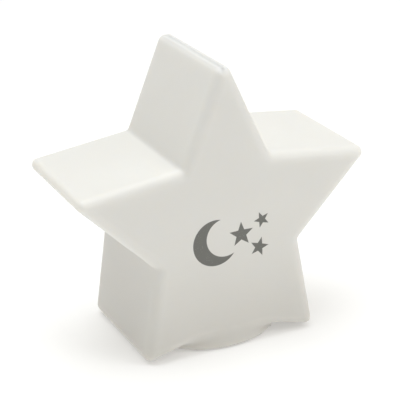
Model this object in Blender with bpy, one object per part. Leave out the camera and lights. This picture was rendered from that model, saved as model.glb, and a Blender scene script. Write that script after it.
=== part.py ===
"""Star-shaped night light: a soft hollow star on a round base with an LED, cells and a slide switch.

Metres, +Z up. The origin is on the surface the light stands on, under the middle of the star.
X runs along the star's width, and the printed front faces -Y.
"""

import math

import bmesh
import bpy
from mathutils import Matrix, Vector

MM = 0.001

# General fits
GAP = 0.3 * MM  # between pieces that touch
THIN_WALL = 0.9 * MM  # ribs and walls of the battery box
BIG_ROUND = 64  # segments of the collar, the base and the housing
MID_ROUND = 24  # segments of cells, lens and bosses
SMALL_ROUND = 14  # segments of screws and holes

# Star: sharp corners of the outline, measured from the star's centre as (x, z)
TOP_TIP = (0.0 * MM, 60.0 * MM)
UPPER_INNER = (16.15 * MM, 22.5 * MM)
ARM_TIP = (55.0 * MM, 17.8 * MM)
SIDE_INNER = (26.8 * MM, -10.9 * MM)
FOOT_TIP = (32.4 * MM, -45.5 * MM)
NOTCH = (0.0 * MM, -36.9 * MM)
TOP_RADIUS = 3.2 * MM
ARM_RADIUS = 2.2 * MM
FOOT_RADIUS = 1.2 * MM
INNER_RADIUS = 1.5 * MM
SHARP_RADIUS = 0.2 * MM  # least radius of a corner that has moved inwards
STAR_DEPTH = 50.6 * MM
EDGE_RADIUS = 4.0 * MM  # rounding round the front and back faces
SHELL_WALL = 2.2 * MM
FOOT_CLEARANCE = 0.7 * MM  # the feet hang this far above the surface
CORNER_STEPS = 4
EDGE_STEPS = 4

# Collar at the bottom of the star
COLLAR_RADIUS = 25.2 * MM
COLLAR_BOTTOM = 0.5 * MM
COLLAR_EDGE = 0.4 * MM
COLLAR_STRAIGHT_TOP = 4.0 * MM
FLARE_TOP = 16.0 * MM
FLARE_SINK = 0.6 * MM  # how far the flare starts behind the star's face
FLARE_STEPS = 8
LIP_DEPTH = 1.2 * MM  # the lip that holds the housing's flange

# Base plate and housing
PLATE_THICKNESS = 2.6 * MM
FLANGE_THICKNESS = 1.8 * MM
HOUSING_CLEARANCE = 2.8 * MM
FLANGE_LEDGE = 2.4 * MM  # how far the flange stands out past the cup
HOUSING_WALL = 1.5 * MM
HOUSING_CHAMFER = 1.0 * MM
LED_ROOM = 1.8 * MM  # from the LED's flange to the housing's roof

# Button cells, in a row along X
CELL_RADIUS = 5.8 * MM
CELL_THICKNESS = 5.4 * MM
CELL_CAP_RADIUS = 4.6 * MM
CELL_GROOVE = 0.5 * MM
CELL_COUNT = 3
CELL_ROW_Y = -6.6 * MM
CELL_PLAY = 0.4 * MM  # above the door

# Battery contacts
CONTACT_THICKNESS = 0.3 * MM
CONTACT_WIDTH = 8.0 * MM
CONTACT_TAB_WIDTH = 2.4 * MM
SPRING_LENGTH = 1.7 * MM
SPRING_WIRE_RADIUS = 0.25 * MM
SPRING_SMALL_RADIUS = 1.6 * MM
SPRING_LARGE_RADIUS = 3.6 * MM
SPRING_TURNS = 2.5

# Battery door
DOOR_RECESS = 0.3 * MM
DOOR_THICKNESS = 1.3 * MM
DOOR_LEDGE = 1.3 * MM  # how far the door reaches past the battery opening
DOOR_CORNER = 1.0 * MM
DOOR_TONGUE_GAP = 0.6 * MM
TONGUE_LENGTH = 1.7 * MM
TONGUE_WIDTH = 6.0 * MM
TONGUE_THICKNESS = 0.6 * MM
TONGUE_LIP = 0.7 * MM  # the plate's lip under the tongue
DOOR_LUG_RADIUS = 3.0 * MM
DOOR_LUG_OFFSET = 1.9 * MM
DOOR_STEP = 0.1 * MM  # the lug and the tongue are this much thinner than the door, each side
DOOR_SCREW_LENGTH = 3.75 * MM
DOOR_BOSS_RADIUS = 2.4 * MM
DOOR_BOSS_HEIGHT = 3.9 * MM
DOOR_BOSS_CLEARANCE = 0.45 * MM

# Screws
SCREW_RADIUS = 0.85 * MM
SCREW_HEAD_RADIUS = 1.8 * MM
SCREW_HEAD_HEIGHT = 0.7 * MM
SCREW_SLOT_WIDTH = 0.5 * MM
SCREW_SLOT_LENGTH = 2.2 * MM
SCREW_SLOT_DEPTH = 0.4 * MM
SCREW_HEAD_LIFT = 0.15 * MM  # the door screw's head above the surface
HOUSING_SCREW_LENGTH = 7.5 * MM
HOUSING_SCREW_SINK = 0.5 * MM
BOSS_RADIUS = 2.2 * MM
BOSS_HEIGHT = 8.6 * MM
BOSS_INSET = 1.8 * MM  # from the housing's inner wall to the screws' axes
BOARD_SCREW_LENGTH = 3.4 * MM
BOARD_SCREW_X = 11.5 * MM
BOARD_SCREW_Y = 8.5 * MM

# Circuit board and what it carries
BOARD_LIFT = 0.6 * MM  # above the battery box
BOARD_THICKNESS = 1.0 * MM
BOARD_CLEARANCE = 0.7 * MM
LED_LIFT = 1.0 * MM
LED_RADIUS = 2.5 * MM
LED_FLANGE_RADIUS = 2.9 * MM
LED_FLANGE_HEIGHT = 1.0 * MM
LED_HEIGHT = 8.6 * MM
LEAD_RADIUS = 0.25 * MM
LEAD_PITCH = 2.54 * MM
RESISTOR_RADIUS = 1.0 * MM
RESISTOR_LENGTH = 6.0 * MM
RESISTOR_PITCH = 10.0 * MM
RESISTOR_Y = -9.0 * MM

# Slide switch
SWITCH_Y = 9.5 * MM
SWITCH_LENGTH = 8.6 * MM
SWITCH_WIDTH = 3.6 * MM
SWITCH_HEIGHT = 3.7 * MM
SWITCH_WALL = 0.35 * MM
SWITCH_TRAVEL = 2.0 * MM
SWITCH_WELL_DEPTH = 0.8 * MM
KNOB_LENGTH = 1.6 * MM
KNOB_WIDTH = 1.3 * MM
KNOB_RECESS = 0.35 * MM
SLIDER_LENGTH = 4.6 * MM
SLIDER_HEIGHT = 1.3 * MM
INSULATOR_HEIGHT = 0.9 * MM
TERMINAL_PITCH = 2.5 * MM
TERMINAL_HEIGHT = 3.0 * MM
TERMINAL_WIDTH = 0.7 * MM
TERMINAL_THICKNESS = 0.4 * MM
WIRE_RADIUS = 0.55 * MM
WIRE_HOLE_X = 6.0 * MM
WIRE_HOLE_Y = 11.5 * MM
WIRE_STEPS = 10

# Places worked out from the sizes above
FACE_Y = STAR_DEPTH / 2
COLLAR_BORE = COLLAR_RADIUS - SHELL_WALL
LIP_BORE = COLLAR_BORE - LIP_DEPTH
PLATE_RADIUS = LIP_BORE - GAP
FLANGE_RADIUS = COLLAR_BORE - GAP
FLANGE_BOTTOM = PLATE_THICKNESS + GAP
# The cup goes up through the collar into the star, so it fits the narrower of the two.
HOUSING_RADIUS = min(FACE_Y - SHELL_WALL - HOUSING_CLEARANCE, FLANGE_RADIUS - FLANGE_LEDGE)
HOUSING_BORE = HOUSING_RADIUS - HOUSING_WALL
SCREW_HOLE = SCREW_RADIUS + GAP
HEAD_HOLE = SCREW_HEAD_RADIUS + GAP

DOOR_TOP = DOOR_RECESS + DOOR_THICKNESS
LEDGE_Z = DOOR_TOP + GAP
CELL_Z = DOOR_TOP + CELL_PLAY + CELL_RADIUS
CELL_PITCH = CELL_THICKNESS + GAP
CELL_ROW = CELL_COUNT * CELL_PITCH - GAP
BOX_INNER_Z = CELL_Z + CELL_RADIUS + GAP
BOX_TOP = BOX_INNER_Z + THIN_WALL
BOX_LENGTH = CELL_ROW + SPRING_LENGTH + 2 * CONTACT_THICKNESS + 5 * GAP
BOX_WIDTH = 2 * CELL_RADIUS + 2 * GAP
CELL_START_X = -BOX_LENGTH / 2 + CONTACT_THICKNESS + 2 * GAP

BOARD_BOTTOM = BOX_TOP + BOARD_LIFT
BOARD_TOP = BOARD_BOTTOM + BOARD_THICKNESS
BOARD_RADIUS = HOUSING_BORE - BOARD_CLEARANCE
LED_BOTTOM = BOARD_TOP + LED_LIFT
ROOF_BOTTOM = LED_BOTTOM + LED_ROOM
ROOF_TOP = ROOF_BOTTOM + HOUSING_WALL
LEAD_BOTTOM = BOX_TOP + GAP

DOOR_HALF_X = BOX_LENGTH / 2 + DOOR_LEDGE - GAP
DOOR_HALF_Y = BOX_WIDTH / 2 + DOOR_LEDGE - GAP
DOOR_HINGE = Vector((-DOOR_HALF_X - DOOR_TONGUE_GAP, CELL_ROW_Y, TONGUE_LIP + GAP / 2))
DOOR_SCREW_X = DOOR_HALF_X + DOOR_LUG_OFFSET

KNOB_X = -SWITCH_TRAVEL / 2
SWITCH_BOTTOM = PLATE_THICKNESS + GAP
SWITCH_TOP = SWITCH_BOTTOM + SWITCH_HEIGHT
SLIDER_BOTTOM = SWITCH_BOTTOM + SWITCH_WALL + GAP

COLOURS = {
    "milky_vinyl": ((0.90, 0.89, 0.86), 0.45, 0.0),
    "white_plastic": ((0.86, 0.86, 0.84), 0.40, 0.0),
    "black_plastic": ((0.03, 0.03, 0.03), 0.45, 0.0),
    "steel": ((0.62, 0.63, 0.64), 0.30, 1.0),
    "cell_steel": ((0.72, 0.72, 0.70), 0.22, 1.0),
    "spring_steel": ((0.66, 0.66, 0.64), 0.28, 1.0),
    "board_green": ((0.05, 0.26, 0.12), 0.35, 0.0),
    "laminate_brown": ((0.35, 0.20, 0.09), 0.55, 0.0),
    "clear_epoxy": ((0.92, 0.94, 0.95), 0.08, 0.0),
    "resistor_tan": ((0.74, 0.60, 0.40), 0.50, 0.0),
    "wire_red": ((0.70, 0.05, 0.04), 0.40, 0.0),
    "wire_black": ((0.02, 0.02, 0.02), 0.40, 0.0),
}


def clear_scene():
    for old in list(bpy.data.objects):
        bpy.data.objects.remove(old, do_unlink=True)


def finish_material(name):
    """The named material, made once."""
    found = bpy.data.materials.get(name)
    if found:
        return found
    colour, roughness, metallic = COLOURS[name]
    made = bpy.data.materials.new(name)
    made.use_nodes = True
    shader = made.node_tree.nodes["Principled BSDF"]
    shader.inputs["Base Color"].default_value = (*colour, 1.0)
    shader.inputs["Roughness"].default_value = roughness
    shader.inputs["Metallic"].default_value = metallic
    made.diffuse_color = (*colour, 1.0)
    return made


# Meshes


def mesh_from(name, bm):
    """Turns a bmesh into a mesh with its faces pointing out, smooth but for its sharp edges."""
    bmesh.ops.recalc_face_normals(bm, faces=bm.faces)
    mesh = bpy.data.meshes.new(name)
    bm.to_mesh(mesh)
    bm.free()
    mesh.shade_smooth()
    mesh.set_sharp_from_angle(angle=math.radians(35))
    return mesh


def bridged_rings(name, rings):
    """A closed solid whose skin runs through rings with equal numbers of points, capped at both ends."""
    bm = bmesh.new()
    loops = [[bm.verts.new(point) for point in ring] for ring in rings]
    count = len(loops[0])
    for low, high in zip(loops, loops[1:]):
        for i in range(count):
            j = (i + 1) % count
            bm.faces.new((low[i], low[j], high[j], high[i]))
    bm.faces.new(list(reversed(loops[0])))
    bm.faces.new(loops[-1])
    return mesh_from(name, bm)


def turned(name, profile, segments=MID_ROUND):
    """A solid of revolution about Z. The profile's (radius, z) points start and end on the axis."""
    bm = bmesh.new()
    verts = [bm.verts.new((radius, 0.0, z)) for radius, z in profile]
    edges = [bm.edges.new(pair) for pair in zip(verts, verts[1:])]
    bmesh.ops.spin(
        bm, geom=verts + edges, cent=(0, 0, 0), axis=(0, 0, 1), angle=math.tau, steps=segments, use_merge=True
    )
    bmesh.ops.remove_doubles(bm, verts=bm.verts, dist=0.001 * MM)
    return mesh_from(name, bm)


def rod(name, radius, low, high, segments=SMALL_ROUND):
    return turned(name, [(0, low), (radius, low), (radius, high), (0, high)], segments)


def block(name, low, high):
    """A box between two corners."""
    bm = bmesh.new()
    bmesh.ops.create_cube(bm, size=1.0)
    low, high = Vector(low), Vector(high)
    for vert in bm.verts:
        vert.co = (low + high) / 2 + Vector(a * b for a, b in zip(vert.co, high - low))
    return mesh_from(name, bm)


def plate(name, outline, low, high):
    """A flat piece with the outline's (x, y) points, from low to high along Z."""
    return bridged_rings(name, [[(x, y, z) for x, y in outline] for z in (low, high)])


def moved(mesh, *offset):
    mesh.transform(Matrix.Translation(Vector(offset)))
    return mesh


def copies(name, mesh, places):
    """One mesh that repeats the given one at each place."""
    bm = bmesh.new()
    for place in places:
        one = mesh.copy()
        moved(one, *place)
        bm.from_mesh(one)
        bpy.data.meshes.remove(one)
    return mesh_from(name, bm)


# Objects


def piece(name, mesh, finish, origin=(0, 0, 0), parent=None):
    """A visible sub-part. Its mesh is in world coordinates, and its origin goes onto its joint's axis."""
    origin = Vector(origin)
    moved(mesh, *-origin)
    obj = bpy.data.objects.new(name, mesh)
    obj.location = origin
    if parent:
        obj.parent = parent
        obj.location = origin - parent.location
    mesh.materials.clear()
    mesh.materials.append(finish_material(finish))
    bpy.context.collection.objects.link(obj)
    return obj


def shape(obj, mesh, operation):
    """Adds or cuts a tool from an object with a Boolean modifier."""
    tool = bpy.data.objects.new("tool_" + mesh.name, mesh)
    tool.hide_render = True
    tool.display_type = "WIRE"
    bpy.context.collection.objects.link(tool)
    modifier = obj.modifiers.new(mesh.name, "BOOLEAN")
    modifier.object = tool
    modifier.operation = operation
    modifier.solver = "EXACT"


def add(obj, *meshes):
    for mesh in meshes:
        shape(obj, mesh, "UNION")


def cut(obj, *meshes):
    for mesh in meshes:
        shape(obj, mesh, "DIFFERENCE")


def tube(name, points, radius, finish):
    """A round wire along points, with closed ends."""
    curve = bpy.data.curves.new(name, "CURVE")
    curve.dimensions = "3D"
    curve.bevel_depth = radius
    curve.bevel_resolution = 2
    curve.use_fill_caps = True
    spline = curve.splines.new("POLY")
    spline.points.add(len(points) - 1)
    for spot, point in zip(spline.points, points):
        spot.co = (*point, 1.0)
    obj = bpy.data.objects.new(name, curve)
    curve.materials.append(finish_material(finish))
    bpy.context.collection.objects.link(obj)
    return obj


# Star shell


def star_corners():
    """The outline's corners, anticlockwise from the top, as (x, z, rounding radius, points outwards)."""
    right = [
        (*UPPER_INNER, INNER_RADIUS, False),
        (*ARM_TIP, ARM_RADIUS, True),
        (*SIDE_INNER, INNER_RADIUS, False),
        (*FOOT_TIP, FOOT_RADIUS, True),
    ]
    left = [(-x, z, radius, outward) for x, z, radius, outward in right]
    top = (*TOP_TIP, TOP_RADIUS, True)
    bottom = (*NOTCH, INNER_RADIUS, False)
    return [top, *left, bottom, *reversed(right)]


def corner_arc(before, corner, after, inset):
    """Points round one corner of the outline, moved inwards by inset."""
    x, z, radius, outward = corner
    here = Vector((x, z))
    to_before = (Vector(before[:2]) - here).normalized()
    to_after = (Vector(after[:2]) - here).normalized()
    half = to_before.angle(to_after) / 2
    rounded = max(radius - inset, SHARP_RADIUS) if outward else radius + inset
    reach = rounded + inset if outward else radius
    centre = here + (to_before + to_after).normalized() * reach / math.sin(half)
    start = here + to_before * reach / math.tan(half) - centre
    end = here + to_after * reach / math.tan(half) - centre
    turn = start.angle_signed(end)
    return [
        centre + Matrix.Rotation(-turn * i / CORNER_STEPS, 2) @ start.normalized() * rounded
        for i in range(CORNER_STEPS + 1)
    ]


def star_outline(inset=0.0):
    corners = star_corners()
    count = len(corners)
    points = []
    for i, corner in enumerate(corners):
        points += corner_arc(corners[i - 1], corner, corners[(i + 1) % count], inset)
    return points


STAR_Z = FOOT_CLEARANCE - min(z for x, z in star_outline())


def star_ring(inset, y):
    return [(x, y, z + STAR_Z) for x, z in star_outline(inset)]


def star_body():
    """The solid star, with its front and back faces' edges rounded."""
    rings = []
    for side in (-1, 1):
        rounding = []
        for i in range(EDGE_STEPS + 1):
            angle = math.pi / 2 * i / EDGE_STEPS
            inset = EDGE_RADIUS * (1 - math.sin(angle))
            y = FACE_Y - EDGE_RADIUS * (1 - math.cos(angle))
            rounding.append(star_ring(inset, side * y))
        rings += rounding if side < 0 else rounding[::-1]
    return bridged_rings("star_body", rings)


def flare_radius(z):
    """The collar's outer radius at a height, from the star's face at the top to the collar at the bottom."""
    share = min(1.0, (FLARE_TOP - z) / (FLARE_TOP - COLLAR_STRAIGHT_TOP))
    low = FACE_Y - FLARE_SINK
    return low + (COLLAR_RADIUS - low) * (0.5 - 0.5 * math.cos(math.pi * share))


def flare_profile(wall):
    step = (FLARE_TOP - COLLAR_STRAIGHT_TOP) / FLARE_STEPS
    heights = [COLLAR_STRAIGHT_TOP + step * i for i in range(FLARE_STEPS + 1)]
    return [(flare_radius(z) - wall, z) for z in heights]


def collar_body():
    foot = [
        (0, COLLAR_BOTTOM),
        (COLLAR_RADIUS - COLLAR_EDGE, COLLAR_BOTTOM),
        (COLLAR_RADIUS, COLLAR_BOTTOM + COLLAR_EDGE),
    ]
    return turned("collar_body", [*foot, *flare_profile(0.0), (0, FLARE_TOP)], BIG_ROUND)


def collar_hollow():
    lip = [
        (0, -FLARE_TOP),
        (LIP_BORE, -FLARE_TOP),
        (LIP_BORE, PLATE_THICKNESS),
        (COLLAR_BORE, PLATE_THICKNESS),
    ]
    return turned("collar_hollow", [*lip, *flare_profile(SHELL_WALL), (0, FLARE_TOP)], BIG_ROUND)


def make_star_shell():
    shell = piece("star_shell", star_body(), "milky_vinyl")
    add(shell, collar_body())
    inner = FACE_Y - SHELL_WALL
    cut(shell, bridged_rings("star_hollow", [star_ring(SHELL_WALL, -inner), star_ring(SHELL_WALL, inner)]))
    cut(shell, collar_hollow())


# Screws


def screw_mesh(name, head_bottom, head_height, length):
    """A pan-head screw pointing up, with a cross in its head."""
    top = head_bottom + head_height
    profile = [
        (0, head_bottom),
        (SCREW_HEAD_RADIUS * 0.75, head_bottom),
        (SCREW_HEAD_RADIUS, head_bottom + head_height * 0.5),
        (SCREW_HEAD_RADIUS, top),
        (SCREW_RADIUS, top),
        (SCREW_RADIUS, top + length - SCREW_RADIUS),
        (SCREW_RADIUS * 0.4, top + length),
        (0, top + length),
    ]
    return turned(name, profile, SMALL_ROUND)


def make_screw(name, x, y, head_bottom, length, head_height=SCREW_HEAD_HEIGHT, parent=None):
    mesh = moved(screw_mesh(name, head_bottom, head_height, length), x, y, 0)
    screw = piece(name, mesh, "steel", origin=(x, y, head_bottom), parent=parent)
    long, wide = SCREW_SLOT_LENGTH / 2, SCREW_SLOT_WIDTH / 2
    top = head_bottom + SCREW_SLOT_DEPTH
    for across, along in ((long, wide), (wide, long)):
        low = (x - across, y - along, head_bottom - SCREW_SLOT_DEPTH)
        cut(screw, block(name + "_slot", low, (x + across, y + along, top)))
    return screw


def housing_screw_places():
    """Three screws round the base, one of them behind the battery box."""
    ring = HOUSING_BORE - BOSS_INSET
    angles = [math.radians(30 + 120 * i) for i in range(3)]
    return [(ring * math.cos(a), ring * math.sin(a), 0.0) for a in angles]


def board_screw_places():
    return [(side * BOARD_SCREW_X, BOARD_SCREW_Y, 0.0) for side in (-1, 1)]


def make_screws():
    for i, (x, y, _) in enumerate(housing_screw_places(), 1):
        make_screw(f"housing_screw_{i}", x, y, HOUSING_SCREW_SINK, HOUSING_SCREW_LENGTH)
    for i, (x, y, _) in enumerate(board_screw_places(), 1):
        head_bottom = BOARD_BOTTOM - GAP - SCREW_HEAD_HEIGHT
        make_screw(f"board_screw_{i}", x, y, head_bottom, BOARD_SCREW_LENGTH)


# Base housing


def bored_boss(name, low, high, bore_top):
    """A screw boss with a blind hole from below."""
    bore = [(0, bore_top), (SCREW_HOLE, bore_top), (SCREW_HOLE, low)]
    profile = [*bore, (BOSS_RADIUS, low), (BOSS_RADIUS, high), (0, high)]
    return turned(name, profile, SMALL_ROUND)


def make_base_housing():
    """The cup that the collar's lip holds by its flange."""
    flange_top = FLANGE_BOTTOM + FLANGE_THICKNESS
    outside = [
        (0, FLANGE_BOTTOM),
        (FLANGE_RADIUS, FLANGE_BOTTOM),
        (FLANGE_RADIUS, flange_top),
        (HOUSING_RADIUS, flange_top),
        (HOUSING_RADIUS, ROOF_TOP - HOUSING_CHAMFER),
        (HOUSING_RADIUS - HOUSING_CHAMFER, ROOF_TOP),
        (0, ROOF_TOP),
    ]
    housing = piece("base_housing", turned("housing", outside, BIG_ROUND), "white_plastic")
    cut(housing, rod("housing_hollow", HOUSING_BORE, -FLANGE_BOTTOM, ROOF_BOTTOM, BIG_ROUND))
    boss_bottom, boss_top = FLANGE_BOTTOM + GAP, FLANGE_BOTTOM + BOSS_HEIGHT
    boss = bored_boss("boss", boss_bottom, boss_top, boss_top - THIN_WALL)
    add(housing, copies("bosses", boss, housing_screw_places()))
    post_bottom, post_top = BOARD_TOP + GAP, ROOF_BOTTOM + HOUSING_WALL / 2
    post = bored_boss("post", post_bottom, post_top, ROOF_BOTTOM)
    add(housing, copies("posts", post, board_screw_places()))
    cut(housing, rod("led_hole", LED_FLANGE_RADIUS + GAP, BOARD_TOP, 2 * ROOF_TOP, MID_ROUND))


# Base plate


def rounded_rectangle(half_x, half_y, radius, centre_x=0.0, centre_y=0.0, steps=3):
    points = []
    for quarter, (sx, sy) in enumerate(((1, 1), (-1, 1), (-1, -1), (1, -1))):
        for i in range(steps + 1):
            angle = math.pi / 2 * (quarter + i / steps)
            x = centre_x + sx * (half_x - radius) + radius * math.cos(angle)
            y = centre_y + sy * (half_y - radius) + radius * math.sin(angle)
            points.append((x, y))
    return points


def centred_block(name, centre, half_x, half_y, low, high):
    x, y = centre
    return block(name, (x - half_x, y - half_y, low), (x + half_x, y + half_y, high))


def make_base_plate():
    """The bottom disc with the battery box, the switch's holder and the door screw's boss moulded on it."""
    below = -PLATE_THICKNESS
    inside = PLATE_THICKNESS / 2
    chamfer = COLLAR_BOTTOM / 2
    disc = [
        (0, 0),
        (PLATE_RADIUS - chamfer, 0),
        (PLATE_RADIUS, chamfer),
        (PLATE_RADIUS, PLATE_THICKNESS),
        (0, PLATE_THICKNESS),
    ]
    base = piece("base_plate", turned("disc", disc, BIG_ROUND), "white_plastic")
    box = (0.0, CELL_ROW_Y)
    switch = (0.0, SWITCH_Y)
    half_x, half_y = BOX_LENGTH / 2, BOX_WIDTH / 2

    add(base, centred_block("box_walls", box, half_x + THIN_WALL, half_y + THIN_WALL, inside, BOX_TOP))
    boss_top = LEDGE_Z + DOOR_BOSS_HEIGHT
    add(base, moved(rod("door_boss", DOOR_BOSS_RADIUS, inside, boss_top), DOOR_SCREW_X, CELL_ROW_Y, 0))
    hold_x, hold_y = SWITCH_LENGTH / 2 + GAP, SWITCH_WIDTH / 2 + GAP
    hold_top = SWITCH_BOTTOM + SWITCH_HEIGHT / 2
    walls = (hold_x + THIN_WALL, hold_y + THIN_WALL)
    add(base, centred_block("switch_holder", switch, *walls, inside, hold_top))
    cut(base, centred_block("switch_pocket", switch, hold_x, hold_y, PLATE_THICKNESS, 2 * hold_top))

    cut(base, centred_block("box_inside", box, half_x, half_y, below, BOX_INNER_Z))
    recess_x, recess_y = DOOR_HALF_X + GAP, DOOR_HALF_Y + GAP
    shift = (DOOR_TONGUE_GAP - GAP) / 2
    outline = rounded_rectangle(recess_x + shift, recess_y, DOOR_CORNER, -shift, CELL_ROW_Y)
    cut(base, plate("door_recess", outline, below, LEDGE_Z))
    lug_recess = rod("lug_recess", DOOR_LUG_RADIUS + GAP, below, LEDGE_Z, MID_ROUND)
    cut(base, moved(lug_recess, DOOR_SCREW_X, CELL_ROW_Y, 0))
    door_screw_hole = rod("door_screw_hole", SCREW_RADIUS + DOOR_BOSS_CLEARANCE, inside, boss_top - THIN_WALL)
    cut(base, moved(door_screw_hole, DOOR_SCREW_X, CELL_ROW_Y, 0))
    tongue_low = (DOOR_HINGE.x - TONGUE_LENGTH, CELL_ROW_Y - TONGUE_WIDTH / 2 - GAP, TONGUE_LIP)
    tongue_high = (-half_x - THIN_WALL, CELL_ROW_Y + TONGUE_WIDTH / 2 + GAP, 2 * PLATE_THICKNESS)
    cut(base, block("tongue_pocket", tongue_low, tongue_high))

    well_x, well_y = SWITCH_TRAVEL + KNOB_LENGTH * 1.5, KNOB_WIDTH * 2
    cut(base, centred_block("switch_well", switch, well_x, well_y, below, SWITCH_WELL_DEPTH))
    slot_x, slot_y = SWITCH_TRAVEL / 2 + KNOB_LENGTH / 2 + GAP, KNOB_WIDTH / 2 + GAP
    cut(base, centred_block("switch_slot", switch, slot_x, slot_y, 0, 2 * PLATE_THICKNESS))

    head_top = HOUSING_SCREW_SINK + SCREW_HEAD_HEIGHT + GAP
    stepped = [(0, below), (HEAD_HOLE, below), (HEAD_HOLE, head_top), (SCREW_HOLE, head_top)]
    through = [(SCREW_HOLE, 2 * PLATE_THICKNESS), (0, 2 * PLATE_THICKNESS)]
    screw_hole = turned("screw_hole", stepped + through, SMALL_ROUND)
    cut(base, copies("screw_holes", screw_hole, housing_screw_places()))
    for side in (-1, 1):
        cut(base, centred_block("tab_slot", *tab_slot(side), BOX_INNER_Z - GAP, 2 * BOX_TOP))


def tab_slot(side):
    """Centre and half sizes of the slot that a contact's tab passes through."""
    x = side * (BOX_LENGTH / 2 - GAP - CONTACT_THICKNESS / 2)
    return (x, CELL_ROW_Y), CONTACT_THICKNESS / 2 + GAP, CONTACT_TAB_WIDTH / 2 + GAP


# Battery door


def make_battery_door():
    """A flat door that hooks in by its tongue and is held by one screw."""
    outline = rounded_rectangle(DOOR_HALF_X, DOOR_HALF_Y, DOOR_CORNER, 0.0, CELL_ROW_Y)
    slab = plate("door", outline, DOOR_RECESS, DOOR_TOP)
    door = piece("battery_door", slab, "white_plastic", origin=DOOR_HINGE)
    lug = rod("lug", DOOR_LUG_RADIUS, DOOR_RECESS + DOOR_STEP, DOOR_TOP - DOOR_STEP, MID_ROUND)
    add(door, moved(lug, DOOR_SCREW_X, CELL_ROW_Y, 0))
    relief = DOOR_THICKNESS / 2 - GAP / 2
    corner = Vector((-DOOR_HALF_X, 0.0, DOOR_RECESS))
    triangle = ((-MM, -MM), (relief + MM, -MM), (-MM, relief + MM))
    ends = (CELL_ROW_Y - 2 * DOOR_HALF_Y, CELL_ROW_Y + 2 * DOOR_HALF_Y)
    wedge = [[corner + Vector((across, y, up)) for across, up in triangle] for y in ends]
    cut(door, bridged_rings("door_edge", wedge))
    tip_x = DOOR_HINGE.x - TONGUE_LENGTH + DOOR_TONGUE_GAP
    half = TONGUE_WIDTH / 2
    tongue_top = DOOR_TOP - DOOR_STEP
    low = (tip_x, CELL_ROW_Y - half, tongue_top - TONGUE_THICKNESS)
    add(door, block("tongue", low, (-DOOR_HALF_X + DOOR_LEDGE, CELL_ROW_Y + half, tongue_top)))
    head_top = SCREW_HEAD_LIFT + SCREW_HEAD_HEIGHT + GAP
    stepped = [(0, -DOOR_TOP), (HEAD_HOLE, -DOOR_TOP), (HEAD_HOLE, head_top), (SCREW_HOLE, head_top)]
    through = [(SCREW_HOLE, 2 * DOOR_TOP), (0, 2 * DOOR_TOP)]
    cut(door, moved(turned("lug_hole", stepped + through, SMALL_ROUND), DOOR_SCREW_X, CELL_ROW_Y, 0))
    make_screw("door_screw", DOOR_SCREW_X, CELL_ROW_Y, SCREW_HEAD_LIFT, DOOR_SCREW_LENGTH, parent=door)


# Cells and contacts


def make_button_cells():
    """Three cells in a row, with their caps towards the spring."""
    lip = CELL_GROOVE / 2
    body_end = CELL_THICKNESS - CELL_GROOVE
    profile = [
        (0, 0),
        (CELL_RADIUS - lip, 0),
        (CELL_RADIUS, lip),
        (CELL_RADIUS, body_end - lip),
        (CELL_RADIUS - lip, body_end),
        (CELL_CAP_RADIUS + lip, body_end),
        (CELL_CAP_RADIUS + lip, body_end - lip),
        (CELL_CAP_RADIUS, body_end - lip),
        (CELL_CAP_RADIUS, CELL_THICKNESS - lip),
        (CELL_CAP_RADIUS - lip, CELL_THICKNESS),
        (0, CELL_THICKNESS),
    ]
    for i in range(CELL_COUNT):
        mesh = turned(f"button_cell_{i + 1}", profile, MID_ROUND)
        mesh.transform(Matrix.Rotation(math.pi / 2, 4, "Y"))
        moved(mesh, CELL_START_X + i * CELL_PITCH, CELL_ROW_Y, CELL_Z)
        piece(f"button_cell_{i + 1}", mesh, "cell_steel")


def make_contact(name, side):
    """A sheet contact with a tab up through the battery box and the board."""
    outer = BOX_LENGTH / 2 - GAP
    tab, half = CONTACT_TAB_WIDTH / 2, CONTACT_WIDTH / 2
    low, shoulder = LEDGE_Z + GAP, BOX_INNER_Z - GAP
    top = BOARD_TOP + LED_LIFT
    outline = [(-half, low), (half, low), (half, shoulder), (tab, shoulder), (tab, top), (-tab, top)]
    outline += [(-tab, shoulder), (-half, shoulder)]
    ends = (side * outer, side * (outer - CONTACT_THICKNESS))
    rings = [[(x, CELL_ROW_Y + y, z) for y, z in outline] for x in ends]
    piece(name, bridged_rings(name, rings), "spring_steel")


def make_contact_spring():
    """A conical spring between the negative sheet and the last cell."""
    start = CELL_START_X + CELL_ROW + GAP + SPRING_WIRE_RADIUS
    length = SPRING_LENGTH - 2 * SPRING_WIRE_RADIUS
    steps = int(SPRING_TURNS * MID_ROUND / 2)
    points = []
    for i in range(steps + 1):
        share = i / steps
        angle = 2 * math.pi * SPRING_TURNS * share
        radius = SPRING_SMALL_RADIUS + (SPRING_LARGE_RADIUS - SPRING_SMALL_RADIUS) * share
        across, up = radius * math.cos(angle), radius * math.sin(angle)
        points.append((start + length * share, CELL_ROW_Y + across, CELL_Z + up))
    tube("contact_spring", points, SPRING_WIRE_RADIUS, "spring_steel")


# Circuit board


def make_circuit_board():
    disc = rod("board", BOARD_RADIUS, BOARD_BOTTOM, BOARD_TOP, BIG_ROUND)
    board = piece("circuit_board", disc, "board_green")
    low, high = BOARD_BOTTOM - GAP, BOARD_TOP + GAP
    cut(board, copies("board_screw_holes", rod("hole", SCREW_HOLE, low, high), board_screw_places()))
    wire_holes = [(side * WIRE_HOLE_X, WIRE_HOLE_Y, 0.0) for side in (-1, 1)]
    cut(board, copies("wire_holes", rod("hole", WIRE_RADIUS + GAP, low, high), wire_holes))
    lead_places = [(side * LEAD_PITCH / 2, 0.0, 0.0) for side in (-1, 1)]
    lead_places += [(side * RESISTOR_PITCH / 2, RESISTOR_Y, 0.0) for side in (-1, 1)]
    cut(board, copies("lead_holes", rod("hole", LEAD_RADIUS + GAP, low, high), lead_places))
    for side in (-1, 1):
        cut(board, centred_block("board_tab_slot", *tab_slot(side), low, high))


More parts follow.
